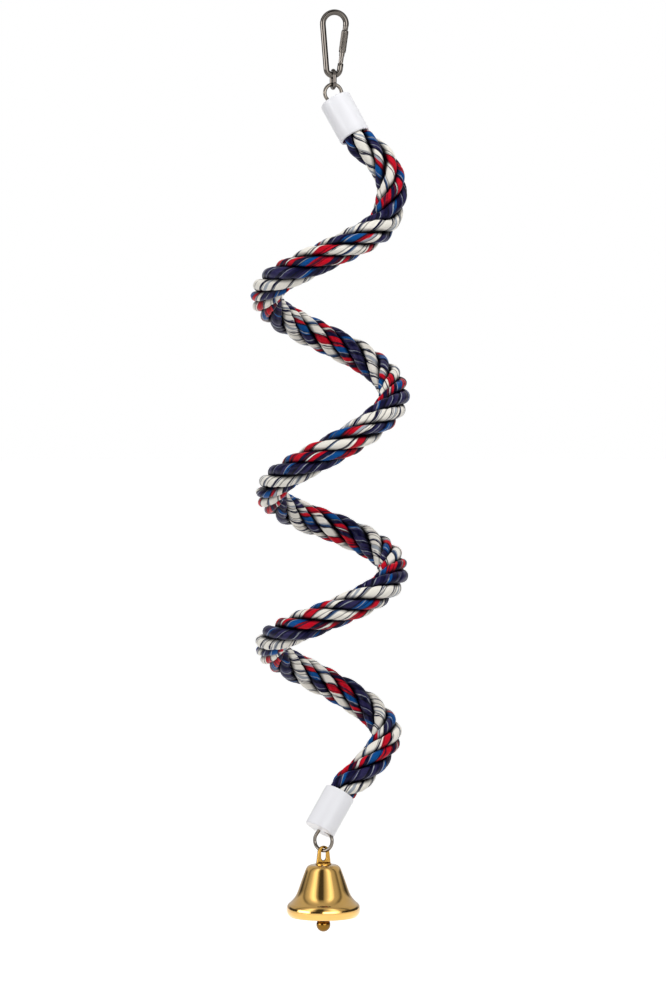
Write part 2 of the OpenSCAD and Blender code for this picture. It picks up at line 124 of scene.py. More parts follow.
class MetalSettings(PropertyGroup):
    hook: colour("Hook", "Smoky nickel plate", "615C57")
    link: colour("Link", "Dark nickel plate", "68625D")
    eye: colour("Eyes", "Nickel-plated wire", "7A736B")
    inner: colour("Inner steel", "Bright steel inside", "B4B4B2")
    brass: colour("Brass", "Polished brass of the bell", "E6B660")
    brass_lug: colour("Lug brass", "Cast brass of the lug", "C49647")
    brass_ball: colour("Clapper brass", "Darker brass of the clapper", "7E5B24")
    groove_depth: length("Grip groove", "Depth of the sleeve's slanting grooves", 0.2)
    groove_count: number("Grooves", "Slanting grooves round the sleeve", 15)
    groove_turn: turn("Groove turn", "Turn of a groove over the sleeve's length", 120)


class BellSettings(PropertyGroup):
    mouth_radius: length("Mouth radius", "Radius of the bell's lip", 16.5)
    height: length("Height", "From crown to lip", 23.1)
    steps: number("Steps", "Faces round the bell", 128)
    lug_width: length("Lug width", "Width of the lug at its foot", 7.2)
    lug_top_width: length("Lug top width", "Width of the lug at its round top", 5.9)
    lug_thickness: length("Lug thickness", "Thickness of the lug", 1.1)
    window_width: length("Window width", "Width of the lug's window", 2.7)
    window_height: length("Window height", "Height of the lug's window", 5.3)


class CapSettings(PropertyGroup):
    diameter: length("Diameter", "Outside diameter of an end cap", 14.2)
    depth: length("Depth", "Length of an end cap", 19.4)
    wall: length("Wall", "Thickness of an end cap's side", 1.2)
    end_thickness: length("End thickness", "Thickness of an end cap's closed end", 1.6)
    edge: length("Edge radius", "Rounding of an end cap's edges", 0.45)
    white: colour("White", "Moulded plastic", "F7F7FB")


class StageSettings(PropertyGroup):
    floor_drop: length("Floor", "Height of the floor under the hook", 640)
    floor: colour("Floor colour", "Pale floor", "F2F2F2")
    world_level: FloatProperty(
        name="Room light", description="Level of the light all round", default=0.3
    )
    key_power: power("Key", "Power of the main lamp", 15.5)
    fill_power: power("Fill", "Power of the soft lamp", 5.0)
    side_power: power("Side", "Power of the lamp on the right", 3.0)
    rim_power: power("Rim", "Power of the lamp behind", 4.5)


# ---------------------------------------------------------------- materials


class Wiring:
    """Shader nodes under construction in one tree."""

    def __init__(self, tree):
        self.nodes, self.links = tree.nodes, tree.links

    def add(self, kind, **values):
        node = self.nodes.new(kind)
        for key, value in values.items():
            setattr(node, key, value)
        return node

    def join(self, out, into):
        self.links.new(out, into)

    def feed(self, socket, value):
        """A socket takes a number, a colour or another node's output."""
        if isinstance(value, tuple):
            socket.default_value = value if len(value) == 4 else (*value, 1)
        elif isinstance(value, (int, float)):
            socket.default_value = value
        else:
            self.join(value, socket)

    def spread(self, value, low, high, start=0.3, stop=0.7):
        node = self.add("ShaderNodeMapRange")
        node.inputs["From Min"].default_value = start
        node.inputs["From Max"].default_value = stop
        node.inputs["To Min"].default_value = low
        node.inputs["To Max"].default_value = high
        self.join(value, node.inputs["Value"])
        return node.outputs["Result"]

    def sums(self, kind, a, b=0.0, clamp=False):
        node = self.add("ShaderNodeMath", operation=kind, use_clamp=clamp)
        for socket, value in zip(node.inputs, (a, b)):
            self.feed(socket, value)
        return node.outputs[0]

    def blend(self, factor, a, b, kind="MIX"):
        node = self.add("ShaderNodeMix", data_type="RGBA", blend_type=kind)
        for socket, value in ((node.inputs[0], factor), (node.inputs[6], a), (node.inputs[7], b)):
            self.feed(socket, value)
        return node.outputs[2]

    def ramp(self, value, stops):
        """Colours by position, in rising order."""
        node = self.add("ShaderNodeValToRGB")
        self.join(value, node.inputs["Fac"])
        elements = node.color_ramp.elements
        for element, (position, shown) in zip(elements, (stops[0], stops[-1])):
            element.position, element.color = position, (*shown, 1)
        for position, shown in stops[1:-1]:
            elements.new(position).color = (*shown, 1)
        return node.outputs["Color"]


class Finish(Wiring):
    """A node material under construction."""

    def __init__(self, name):
        self.material = bpy.data.materials.new(name)
        self.material.use_nodes = True
        super().__init__(self.material.node_tree)
        self.shader = self.nodes["Principled BSDF"]

    def set(self, **values):
        for key, value in values.items():
            self.feed(self.shader.inputs[key.replace("_", " ")], value)

    def place(self, stretch=(1, 1, 1)):
        where = self.add("ShaderNodeTexCoord")
        mapping = self.add("ShaderNodeMapping")
        mapping.inputs["Scale"].default_value = stretch
        self.join(where.outputs["Object"], mapping.inputs["Vector"])
        return mapping.outputs["Vector"]

    def grain(self, vector, scale, detail=3.0, rough=0.55):
        tex = self.add("ShaderNodeTexNoise")
        tex.inputs["Scale"].default_value = scale
        tex.inputs["Detail"].default_value = detail
        tex.inputs["Roughness"].default_value = rough
        self.join(vector, tex.inputs["Vector"])
        return tex.outputs["Fac"]

    def bump(self, height, strength, distance):
        node = self.add("ShaderNodeBump")
        node.inputs["Strength"].default_value = strength
        node.inputs["Distance"].default_value = distance
        self.join(height, node.inputs["Height"])
        self.join(node.outputs["Normal"], self.shader.inputs["Normal"])


def shade(colour_value, factor):
    return tuple(c * factor for c in colour_value)


def plated_metal(name, base, smooth, scratch=0.0, worn=0.8, scale=120, lacquer=0.0):
    """Plated or polished metal: a cloudy tint, a roughness that varies and fine draw lines."""
    f = Finish(name)
    cloud = f.grain(f.place(), scale)
    f.set(
        Base_Color=f.blend(f.spread(cloud, 0, 1), tuple(base), shade(base, worn)),
        Roughness=f.spread(cloud, smooth * 0.8, smooth * 1.25),
        Metallic=1.0, Coat_Weight=lacquer, Coat_Roughness=0.1,
    )
    if scratch:
        f.bump(f.grain(f.place((1, 1, 0.12)), scale * 9, 2.0), scratch, 0.01 * MM)
    return f.material


def moulded_plastic(name, base):
    """White moulded plastic: a faint flow cloud and a fine spark texture."""
    f = Finish(name)
    flow = f.grain(f.place((1, 1, 0.4)), 90)
    f.set(
        Base_Color=f.blend(f.spread(flow, 0, 1, 0.1, 0.9), tuple(base), shade(base, 0.985)),
        Roughness=f.spread(flow, 0.28, 0.34, 0.1, 0.9), IOR=1.5, Specular_IOR_Level=0.36,
    )
    f.bump(f.grain(f.place(), 2600, 4.0), 0.02, 0.02 * MM)
    return f.material


def dyed_cotton(name, bands, painted_shade_colour, seed):
    """Twisted yarns: colour bands, fibres along the plies, painted glints and painted shade in
    seams and grooves.
    """
    f = Finish(name)
    where = f.add("ShaderNodeUVMap", uv_map="strand")
    split = f.add("ShaderNodeSeparateXYZ")
    f.join(where.outputs["UV"], split.inputs["Vector"])
    around, along = split.outputs["X"], split.outputs["Y"]

    def stretched(u_scale, v_scale, shift):
        vector = f.add("ShaderNodeCombineXYZ")
        f.join(f.sums("MULTIPLY", around, u_scale), vector.inputs["X"])
        f.join(f.sums("MULTIPLY", along, v_scale), vector.inputs["Y"])
        vector.inputs["Z"].default_value = shift + seed * 3.7
        return vector.outputs["Vector"]

    drift = f.spread(f.grain(stretched(0.0, 14, 7.7), 1.0, 1.0), -0.22, 0.22)
    wander = f.spread(f.grain(stretched(3.0, 60, 1.7), 1.0, 2.0), -0.045, 0.045)
    fray = f.spread(f.grain(stretched(60, 130, 4.1), 1.0, 2.0), -0.012, 0.012)
    twist = f.sums("ADD", f.sums("ADD", f.sums("ADD", around, drift), wander), fray)
    soft, at, stops = 0.007, 0.0, []
    total = sum(width for width, _ in bands)
    for width, value in bands:
        wide = width / total
        edge = min(soft, wide * 0.3)
        stops += [(at + edge, value), (at + wide - edge, value)]
        at += wide
    yarns = f.ramp(f.sums("FRACT", twist), stops)

    fibre = f.grain(stretched(70, 160, 9.3), 1.0, 4.0, 0.6)
    tuft = f.grain(stretched(11, 45, 6.2), 1.0, 3.0)
    toned = f.blend(f.spread(tuft, 0.0, 0.16), yarns, (0.62, 0.62, 0.62), "MULTIPLY")
    combed = f.blend(f.spread(fibre, 0.0, 0.26, 0.32, 0.68), toned, (0.66, 0.66, 0.7), "MULTIPLY")
    # painted glints: a pale screen where the fibre noise runs high
    painted_glint = f.blend(f.spread(fibre, 0.0, 0.035, 0.62, 0.8), combed, (0.8, 0.82, 0.88), "SCREEN")
    # painted shade along the seams between the plies
    waves = f.sums("MULTIPLY", around, PLIES / 2 * math.tau)
    seam = f.sums("ABSOLUTE", f.sums("SINE", waves))
    plies = f.blend(f.spread(seam, 0.8, 0.0, 0.0, 0.24), painted_glint, painted_shade_colour)
    # painted shade: the colour runs to near black deeper in the grooves between strands
    depth = f.add("ShaderNodeAttribute", attribute_name="groove").outputs["Fac"]
    f.set(
        Base_Color=f.blend(f.spread(depth, 0.0, 0.97, 0.28, 0.88), plies, painted_shade_colour),
        Roughness=f.spread(fibre, 0.26, 0.4),
        Specular_IOR_Level=0.1, Specular_Tint=(0.85, 0.87, 1, 1),
    )
    f.bump(fibre, 0.35, 0.22 * MM)
    return f.material


# ---------------------------------------------------------------- mesh helpers


def made_of(made, kind):
    """The vertices or the edges among what a bmesh operator made."""
    return [part for part in made["geom"] if isinstance(part, kind)]


def finished_piece(bm, name, body, materials, sharp=None):
    """The bmesh as an object at the origin, riding on its body."""
    mesh = bpy.data.meshes.new(name)
    bm.to_mesh(mesh)
    bm.free()
    obj = bpy.data.objects.new(name, mesh)
    bpy.context.scene.collection.objects.link(obj)
    for material in materials:
        mesh.materials.append(material)
    mesh.polygons.foreach_set("use_smooth", [True] * len(mesh.polygons))
    if sharp is not None:
        mesh.set_sharp_from_angle(angle=math.radians(sharp))
    if body:
        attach(obj, body)
    return obj


def dress(node, material):
    """A CAD node's material slots all take one finish."""
    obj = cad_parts[node]
    if not obj.data.materials:
        obj.data.materials.append(material)
    for slot_ in obj.material_slots:
        slot_.material = material


def polished_copy(node, name, body, material):
    """A CAD node's own mesh with its doubles merged, so that it shines without facets."""
    bm = bmesh.new()
    bm.from_mesh(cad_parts[node].data)
    bmesh.ops.remove_doubles(bm, verts=bm.verts, dist=2e-6)
    bmesh.ops.dissolve_limit(bm, angle_limit=math.radians(0.3), verts=bm.verts, edges=bm.edges)
    piece = finished_piece(bm, name, body, [material], sharp=FACET_ANGLE)
    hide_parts(node)
    return piece


def spun(bm, outline, steps):
    """Spins an outline of (radius, height) points about Z into a closed skin."""
    made = [bm.verts.new((r, 0, z)) for r, z in outline]
    edges = [bm.edges.new(pair) for pair in zip(made, made[1:])]
    bmesh.ops.spin(
        bm, geom=made + edges, cent=(0, 0, 0), axis=UP, angle=math.tau, steps=steps,
        use_merge=True,
    )
    bmesh.ops.remove_doubles(bm, verts=bm.verts, dist=1e-7)
    bmesh.ops.recalc_face_normals(bm, faces=bm.faces)


def swept(bm, path, radii, across):
    """A round wire along a flat path: one ring, extruded from point to point."""
    first = bmesh.ops.create_circle(bm, segments=WIRE_SIDES, radius=1)["verts"]
    turns = [math.atan2(v.co.y, v.co.x) for v in first]
    edges = list({e for v in first for e in v.link_edges})
    bmesh.ops.delete(bm, geom=[f for v in first for f in v.link_faces], context="FACES_ONLY")
    ring, start = first, edges
    for i, (centre, radius) in enumerate(zip(path, radii)):
        if i:
            order = {v: k for k, v in enumerate(ring)}
            made = bmesh.ops.extrude_edge_only(bm, edges=edges)
            edges, fresh = made_of(made, BMEdge), made_of(made, BMVert)
            links = [(v, e.other_vert(v)) for v in fresh for e in v.link_edges]
            mates = {v: w for v, w in links if w in order}
            ring = sorted(fresh, key=lambda v: order[mates[v]])
        before, after = path[max(i - 1, 0)], path[min(i + 1, len(path) - 1)]
        outward = (after - before).normalized().cross(across)
        for v, a in zip(ring, turns):
            v.co = centre + (outward * math.cos(a) + across * math.sin(a)) * radius
    bmesh.ops.holes_fill(bm, edges=start + edges, sides=0)
    bmesh.ops.recalc_face_normals(bm, faces=bm.faces)


def eased(values, i, t):
    """A smooth curve through evenly spaced values, at the share t from value i to the next."""
    b, c = values[i], values[i + 1]
    a = values[i - 1] if i else 2 * b - c
    d = values[i + 2] if i + 2 < len(values) else 2 * c - b
    return 0.5 * (2 * b + (c - a) * t + (2 * a - 5 * b + 4 * c - d) * t * t
                  + (3 * b - a - 3 * c + d) * t ** 3)


def smooth_line(points, parts):
    """Points on a smooth curve through the given ones."""
    knots = [Vector(p) for p in points]
    spans = range(len(knots) - 1)
    return [eased(knots, i, k / parts) for i in spans for k in range(parts)] + [knots[-1]]


# ---------------------------------------------------------------- the rope's route

TOP_LEAN, TOP_HEADING = math.radians(31.2), math.radians(153)
LOW_LEAN, LOW_HEADING = math.radians(34.2), math.radians(-147.7)
TOP_OUT = Vector((math.sin(TOP_LEAN) * math.cos(TOP_HEADING),
                  math.sin(TOP_LEAN) * math.sin(TOP_HEADING), math.cos(TOP_LEAN)))
LOW_OUT = Vector((math.sin(LOW_LEAN) * math.cos(LOW_HEADING),
                  math.sin(LOW_LEAN) * math.sin(LOW_HEADING), -math.cos(LOW_LEAN)))
TOP_FACE = Vector((0.308, 0.980, -37.820))
LOW_MOUTH = Vector((2.567, -3.173, -347.055))
CAP_L = 19.4
TOP_MOUTH = TOP_FACE - TOP_OUT * CAP_L
LOW_FACE = LOW_MOUTH + LOW_OUT * CAP_L
GRIP_L = 13.9
BELL_PIN = Vector((-4.910, -9.372, -372.277))
COIL_R, COIL_H, COIL_LEAN = 27.5, 240.6, math.radians(4)
COIL_X, COIL_Y, COIL_TOP_Z = -1.6, 3, -86
COIL_START, COIL_STOP, COIL_STEP = 35, 1055, 15  # degrees along the coil
# After each half turn: how far down the coil is, and its radius against the mean
DROP_SHARES = [0, 0.165, 0.345, 0.53, 0.672, 0.817, 1]
RADIUS_SHARES = [0.975, 1.055, 1.025, 0.98, 1.015, 0.99, 0.98]
# Points between the caps and the coil
LEAD_IN = [(21.4, -7.5, -66.1), (25.4, -12, -79.1)]
LEAD_OUT = [(23.6, 15.6, -324.2), (19.2, 8.6, -331), (12.6, 2.8, -338.2)]


def share_at(shares, half_turns):
    """The share that the coil has reached after some half turns."""
    i = min(max(int(half_turns), 0), len(shares) - 2)
    return eased(shares, i, half_turns - i)


def coil_point(degrees):
    """A point on the coil's middle line, in millimetres."""
    z = COIL_TOP_Z - COIL_H * share_at(DROP_SHARES, degrees / 180)
    r = COIL_R * share_at(RADIUS_SHARES, degrees / 180)
    axis_y = COIL_Y - math.tan(COIL_LEAN) * (z - COIL_TOP_Z + COIL_H / 2)
    a = math.radians(degrees)
    return Vector((COIL_X + r * math.cos(a), axis_y - r * math.sin(a) * math.cos(COIL_LEAN),
                   z - r * math.sin(a) * math.sin(COIL_LEAN)))


def lead(points, parts=3):
    """Centripetal curve between the inner points, so a lead never loops."""
    line = []
    for i in range(1, len(points) - 2):
        a, b, c, d = points[i - 1 : i + 3]
        tb = math.sqrt((b - a).length)
        tc = tb + math.sqrt((c - b).length)
        td = tc + math.sqrt((d - c).length)
        for k in range(parts):
            t = tb + (tc - tb) * k / parts
            ab = a * ((tb - t) / tb) + b * (t / tb)
            bc = b * ((tc - t) / (tc - tb)) + c * ((t - tb) / (tc - tb))
            cd = c * ((td - t) / (td - tc)) + d * ((t - tc) / (td - tc))
            abc = ab * ((tc - t) / tc) + bc * (t / tc)
            bcd = bc * ((td - t) / (td - tb)) + cd * ((t - tb) / (td - tb))
            line.append(abc * ((tc - t) / (tc - tb)) + bcd * ((t - tb) / (tc - tb)))
    return line


def rope_route():
    """The rope's middle line from inside the top cap to inside the bottom cap, in metres."""
    coil = [coil_point(a) for a in range(COIL_START, COIL_STOP + 1, COIL_STEP)]
    first, last = [Vector(p) for p in LEAD_IN], [Vector(p) for p in LEAD_OUT]
    above = TOP_MOUTH + TOP_OUT * (first[0] - TOP_MOUTH).length
    below = LOW_MOUTH + LOW_OUT * (last[0] - LOW_MOUTH).length
    start = [above, TOP_MOUTH, *first, coil[0], coil[1]]
    stop = [coil[-2], coil[-1], *last, LOW_MOUTH, below]
    route = [TOP_MOUTH + TOP_OUT * t for t in (GRIP_L, GRIP_L / 2, 0)]
    route += lead(start)[1:] + coil + lead(stop)[1:]
    route += [LOW_MOUTH + LOW_OUT * t for t in (0, GRIP_L / 2, GRIP_L)]
    return [p * MM for p in route]


def even_line(points, step):
    """The smooth line through the points, cut into equal steps."""
    fine = smooth_line(points, parts=12)
    reach = [0.0]
    for a, b in zip(fine, fine[1:]):
        reach.append(reach[-1] + (b - a).length)
    count = round(reach[-1] / step)
    line, k = [], 0
    for i in range(count + 1):
        s = reach[-1] * i / count
        while k < len(reach) - 2 and reach[k + 1] < s:
            k += 1
        line.append(fine[k].lerp(fine[k + 1], (s - reach[k]) / (reach[k + 1] - reach[k])))
    return line, reach[-1]


# ---------------------------------------------------------------- operators


class PERCH_OT_camera(Operator):
    """Set up the camera in front of the perch"""

    bl_idname = "perch.camera"
    bl_label = "Camera"

    PLACE, TILT = (-0.00063, -1.5998, -0.1750), math.radians(89)
    SENSOR, FOCAL = 24, 85.9  # millimetres
    SHIFT, NEAR = -0.03, 0.05  # a share of the picture, and metres

    def execute(self, context):
        lens = bpy.data.cameras.new("front_camera")
        lens.sensor_fit = "VERTICAL"
        lens.sensor_height = self.SENSOR
        lens.lens = self.FOCAL
        lens.shift_y = self.SHIFT
        lens.clip_start = self.NEAR
        camera = bpy.data.objects.new("front_camera", lens)
        camera.location = self.PLACE
        camera.rotation_euler = (self.TILT, 0, 0)
        context.scene.collection.objects.link(camera)
        context.scene.camera = camera
        return {"FINISHED"}


class PERCH_OT_rope(Operator):
    """Lay five twisted strands along the coil"""

    bl_idname = "perch.rope"
    bl_label = "Rope"

    BULKS = (1.1, 0.9, 1.0, 0.9, 1.1)  # width of each strand against the mean
    OUT_KEPT = 0.75  # share of a strand's distance from the middle that its width leaves alone
    PLY_SHIFT = 0.37  # turn of the plies from one strand to the next
    MOUTH_L, MOUTH_SQUEEZE = 3.5 * MM, 0.165  # the rope narrows over this length into a cap
    # Slow noise along a strand: its strength, its rate, its step from strand to strand, its plane
    SWAY = (0.16, 38, 7.3, 1.1)  # in the strand's turn about the rope
    SLUMP = (0.09, 55, 3.1, 5.2)  # in its thickness
    DENT_CURVE = 2.2
    LIT_R, GROOVE_DEEP = 6.85 * MM, 2.1 * MM  # painted shade darkens the grooves inside this radius, over this depth
    PAINTED_SHADE_SHARE = 0.16  # of the navy, for the painted shade deep in the grooves and between plies
    YARNS = {
        "c": "cream", "n": "navy", "p": "plum", "b": "blue", "r": "red", "w": "wine", "g": "grey",
        "t": "steel",
    }
    # The yarns round a strand, each with its width in thousandths; d is painted shade in the seams
    # between plies
    CLOTHS = {
        "cotton_navy": "d20 n100 p110 g15 n50 d40 p130 n70 g12 p80 d40 n120 b60 g15 p90 n30",
        "cotton_red_blue": "d20 r190 n20 w40 r40 d20 b170 g20 n100 d20 r110 n20 c40 n20 w70 n100",
        "cotton_cream_red": "n30 c250 n15 c12 n20 d20 r160 w20 r30 c60 n30 c250 g30 t50",
        "cotton_mixed": "d20 b150 g20 b50 n40 d20 p120 g20 p70 n20 d30 c100 n20 g60 r100 w30",
        "cotton_cream": "n30 c250 n15 g15 n20 n30 c100 g70 c50 t15 c30 n50 c240 t20 c15 n20",
    }

    def uneven(self, kind, at, strand):
        strength, rate, step, plane = kind
        return strength * noise.noise(Vector((at * rate, strand * step, plane)))

    def execute(self, context):
        s = context.scene.perch_rope
        line, reach = even_line(rope_route(), s.ring_step)
        count, sides = len(line), s.sides
        tangents = [
            (line[min(i + 1, count - 1)] - line[max(i - 1, 0)]).normalized() for i in range(count)
        ]
        side = tangents[0].cross(Vector((0, 1, 0))).normalized()
        frames = []
        for t in tangents:
            side = (side - t * side.dot(t)).normalized()
            frames.append((side, t.cross(side)))
        grip = GRIP_L * MM
        bm = bmesh.new()
        skin = bm.loops.layers.uv.new("strand")
        groove = bm.verts.layers.float.new("groove")
        for strand, bulk in enumerate(self.BULKS):
            middle_share = (sum(self.BULKS[:strand]) + bulk / 2) / sum(self.BULKS)
            before = set(bm.verts)
            bmesh.ops.create_grid(
                bm, x_segments=count - 1, y_segments=sides, size=0.5, calc_uvs=True
            )
            fresh = [v for v in bm.verts if v not in before]
            faces = {f for v in fresh for f in v.link_faces}
            edge_columns = []
            for v in fresh:
                i = round((v.co.x + 0.5) * (count - 1))
                j = round((v.co.y + 0.5) * sides)
                at = reach * i / (count - 1)
                past = max(grip - at, at - reach + grip) / self.MOUTH_L + 1
                inside = min(1, max(0, past))
                squeeze = 1 - self.MOUTH_SQUEEZE * inside * inside * (3 - 2 * inside)
                n, b = frames[i]
                phase = s.start_turn + math.tau * (middle_share + at / s.lay)
                phase += self.uneven(self.SWAY, at, strand)
                out = n * math.cos(phase) + b * math.sin(phase)
                over = b * math.cos(phase) - n * math.sin(phase)
                plies = math.tau * (j / sides + strand * self.PLY_SHIFT)
                angle = plies - math.tau * at / s.ply_lay
                ridge = abs(math.sin(PLIES / 2 * math.tau * j / sides))
                dent = s.ply_dent / s.strand_high * (1 - ridge) ** self.DENT_CURVE
                full = 1 + self.uneven(self.SLUMP, at, strand) - dent
                high = s.strand_high * full * math.cos(angle)
                wide = s.strand_wide * bulk * full * math.sin(angle)
                centre = s.strand_out * (self.OUT_KEPT + (1 - self.OUT_KEPT) * bulk)
                offset = out * (centre + high) + over * wide
                v.co = line[i] + offset * squeeze
                # how deep the point lies in the grooves between strands, which the cotton turns
                # into painted shade
                v[groove] = min(1, max(0, (self.LIT_R - offset.length) / self.GROOVE_DEEP))
                if j in (0, sides):
                    edge_columns.append(v)
            for f in faces:
                f.material_index = strand
            bmesh.ops.remove_doubles(bm, verts=edge_columns, dist=1e-6)
        for f in bm.faces:
            for loop in f.loops:
                uv = loop[skin].uv
                loop[skin].uv = (uv.y, uv.x * reach)
        bmesh.ops.holes_fill(bm, edges=[e for e in bm.edges if e.is_boundary], sides=0)
        bmesh.ops.recalc_face_normals(bm, faces=bm.faces)
        # the near-black colour of the painted shade in the grooves and between plies
        painted_shade_colour = shade(s.navy, self.PAINTED_SHADE_SHARE)
        yarns = {letter: tuple(getattr(s, name)) for letter, name in self.YARNS.items()}
        yarns["d"] = painted_shade_colour
        finishes = []
        for seed, (name, cloth) in enumerate(self.CLOTHS.items()):
            bands = [(int(band[1:]) / 1000, yarns[band[0]]) for band in cloth.split()]
            finishes.append(dyed_cotton(name, bands, painted_shade_colour, seed))
        rope = finished_piece(bm, "rope_strands", None, finishes)
        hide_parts("perch_rope")
        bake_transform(rope)
        steel = plated_metal("core_wire_steel", context.scene.perch_metal.inner, 0.35, worn=0.7)
        core = polished_copy("core_wire", "core_wire_drawn", None, steel)
        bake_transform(core)
        return {"FINISHED"}


class PERCH_OT_caps(Operator):
    """Mould the two white end caps over the rope's ends"""

    bl_idname = "perch.caps"
    bl_label = "End caps"

    STEPS = 96
    EDGE_TURNS = [math.radians(k * 15) for k in range(7)]
    LIP_TURNS = [math.radians(k * 22.5) for k in range(9)]
    CORNER = 0.3 * MM  # inside, at the closed end

    def execute(self, context):
        s = context.scene.perch_cap
        white = moulded_plastic("white_plastic", tuple(s.white))
        r, e, lip = s.diameter / 2, s.edge, s.wall / 2
        inner, end = r - s.wall, s.end_thickness
        outline = [(0, 0), (r * 0.5, 0), (r - 1.6 * e, 0)]
        outline += [(r - e + e * math.sin(a), -e + e * math.cos(a)) for a in self.EDGE_TURNS]
        outline += [(r, -s.depth * share) for share in (0.25, 0.5, 0.75)]
        outline += [(r - lip + lip * math.cos(a), -s.depth + lip - lip * math.sin(a))
                    for a in self.LIP_TURNS]
        outline += [(inner, -s.depth * 0.5), (inner, -end * 1.3), (inner - self.CORNER, -end),
                    (0, -end)]
        for name, node, body, face, out in (
            ("cap_upper", "top_cap", "perch", TOP_FACE, TOP_OUT),
            ("cap_lower", "bottom_cap", "lower_end", LOW_FACE, LOW_OUT),
        ):
            bm = bmesh.new()
            spun(bm, outline, self.STEPS)
            lean = UP.rotation_difference(out).to_matrix().to_4x4()
            bm.transform(Matrix.Translation(face * MM) @ lean)
            cap = finished_piece(bm, name, body, [white], sharp=50)
            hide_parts(node)
        return {"FINISHED"}


class PERCH_OT_bell(Operator):
    """Turn the bell and polish it"""

    bl_idname = "perch.bell"
    bl_label = "Bell"

    CROWN_Z, HOLE_R, FLAT_R = -6.1 * MM, 1.32 * MM, 3 * MM
    WALL = 0.0525  # of the bell's height, at the crown
    # Outline of the skin and of the hollow: shares of the mouth's radius and of the height
    OUTER = [(0.3, 0), (0.4, 0.02), (0.468, 0.075), (0.52, 0.165), (0.585, 0.29), (0.645, 0.41),
             (0.7, 0.52), (0.75, 0.6), (0.81, 0.662), (0.88, 0.715), (0.945, 0.755), (0.985, 0.8),
             (1, 0.87), (0.985, 0.94), (0.93, 1)]
    INNER = [(0.885, 1), (0.93, 0.93), (0.915, 0.84), (0.84, 0.765), (0.74, 0.7), (0.665, 0.6),
             (0.62, 0.52), (0.565, 0.41), (0.505, 0.29), (0.44, 0.175), (0.385, 0.105), (0.3, WALL)]

    def execute(self, context):
        s = context.scene.perch_bell
        m = context.scene.perch_metal
        crown, hole, flat = self.CROWN_Z, self.HOLE_R, self.FLAT_R

        def real(pair):
            return (pair[0] * s.mouth_radius, 0, crown - pair[1] * s.height)

        outer = smooth_line([(hole, 0, crown), (flat, 0, crown), *map(real, self.OUTER)], parts=4)
        roof = crown - self.WALL * s.height
        inner = smooth_line([*map(real, self.INNER), (hole, 0, roof)], parts=3)
        outline = [(p.x, p.z) for p in outer + inner]
        outline.append(outline[0])
        bm = bmesh.new()
        spun(bm, outline, s.steps)
        bm.transform(Matrix.Translation(BELL_PIN * MM))
        brass = plated_metal("polished_brass", m.brass, 0.11, worn=0.88, scale=90, lacquer=0.8)
        bell = finished_piece(bm, "bell_turned", "bell", [brass], sharp=60)
        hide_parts("bell_shell")
        return {"FINISHED"}


class PERCH_OT_lug(Operator):
    """Cast the bell's lug with its window"""

    bl_idname = "perch.lug"
    bl_label = "Bell lug"

    WINDOW_TOP, TOP_WALL, FOOT = 1.04 * MM, 1.2 * MM, -5.5 * MM
    EDGE_R, TURN = 0.3 * MM, math.radians(32)
    SHANK_R, SHANK_L, SHANK_SUNK = 1.2 * MM, 3.5 * MM, 0.1 * MM
    TOP_PARTS, SIDE_PARTS, FOOT_PARTS = 24, 8, 16

    def execute(self, context):
        s = context.scene.perch_bell
        m = context.scene.perch_metal
        window_top, foot, half = self.WINDOW_TOP, self.FOOT, s.lug_width / 2
        top_r, win_r = s.lug_top_width / 2, s.window_width / 2
        shoulder, high = window_top + self.TOP_WALL - top_r, window_top - win_r
        low = window_top - s.window_height + win_r
        outer, inner = [], []
        for k in range(self.TOP_PARTS + 1):
            a = math.pi * k / self.TOP_PARTS
            outer.append((top_r * math.cos(a), shoulder + top_r * math.sin(a)))
            inner.append((win_r * math.cos(a), high + win_r * math.sin(a)))
        shares = [k / self.SIDE_PARTS for k in range(1, self.SIDE_PARTS)]

        def side(sign, steps):
            for t in steps:
                out_x, out_z = top_r + (half - top_r) * t, shoulder + (foot - shoulder) * t
                outer.append((sign * out_x, out_z))
                inner.append((sign * win_r, high + (low - high) * t))

        side(-1, shares)
        for k in range(self.FOOT_PARTS + 1):
            a = math.pi * (1 + k / self.FOOT_PARTS)
            outer.append((half * (2 * k / self.FOOT_PARTS - 1), foot))
            inner.append((win_r * math.cos(a), low + win_r * math.sin(a)))
        side(1, reversed(shares))
        bm = bmesh.new()
        back = -s.lug_thickness / 2
        loops = []
        for points in (outer, inner):
            verts = [bm.verts.new((x, back, z)) for x, z in points]
            loops += [bm.edges.new((a, b)) for a, b in zip(verts, verts[1:] + verts[:1])]
        bmesh.ops.bridge_loops(bm, edges=loops)
        made = bmesh.ops.extrude_face_region(bm, geom=list(bm.faces), use_keep_orig=True)
        bmesh.ops.translate(bm, verts=made_of(made, BMVert), vec=(0, s.lug_thickness, 0))
        bmesh.ops.recalc_face_normals(bm, faces=bm.faces)
        rims = [e for e in bm.edges if len(e.link_faces) == 2 and e.calc_face_angle(0) > 1]
        bmesh.ops.bevel(
            bm, geom=rims, offset=self.EDGE_R, affect="EDGES", segments=4, profile=0.5, material=-1,
            clamp_overlap=True,
        )
        pin = BELL_PIN * MM
        bm.transform(Matrix.Translation(pin) @ Matrix.Rotation(self.TURN, 4, "Z"))
        shank_z = foot - self.SHANK_L / 2 + self.SHANK_SUNK
        bmesh.ops.create_cone(
            bm, cap_ends=True, segments=WIRE_SIDES, radius1=self.SHANK_R, radius2=self.SHANK_R,
            depth=self.SHANK_L, matrix=Matrix.Translation(pin + UP * shank_z),
        )
        brass = plated_metal("cast_brass", m.brass_lug, 0.2, scratch=0.1, scale=200)
        lug = finished_piece(bm, "lug_cast", "bell", [brass], sharp=35)
        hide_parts("bell_lug")
        polished_copy("lug_washer", "washer_brass", "bell", brass)
        polished_copy("clapper_hanger", "hanger_brass", "bell", brass)
        return {"FINISHED"}


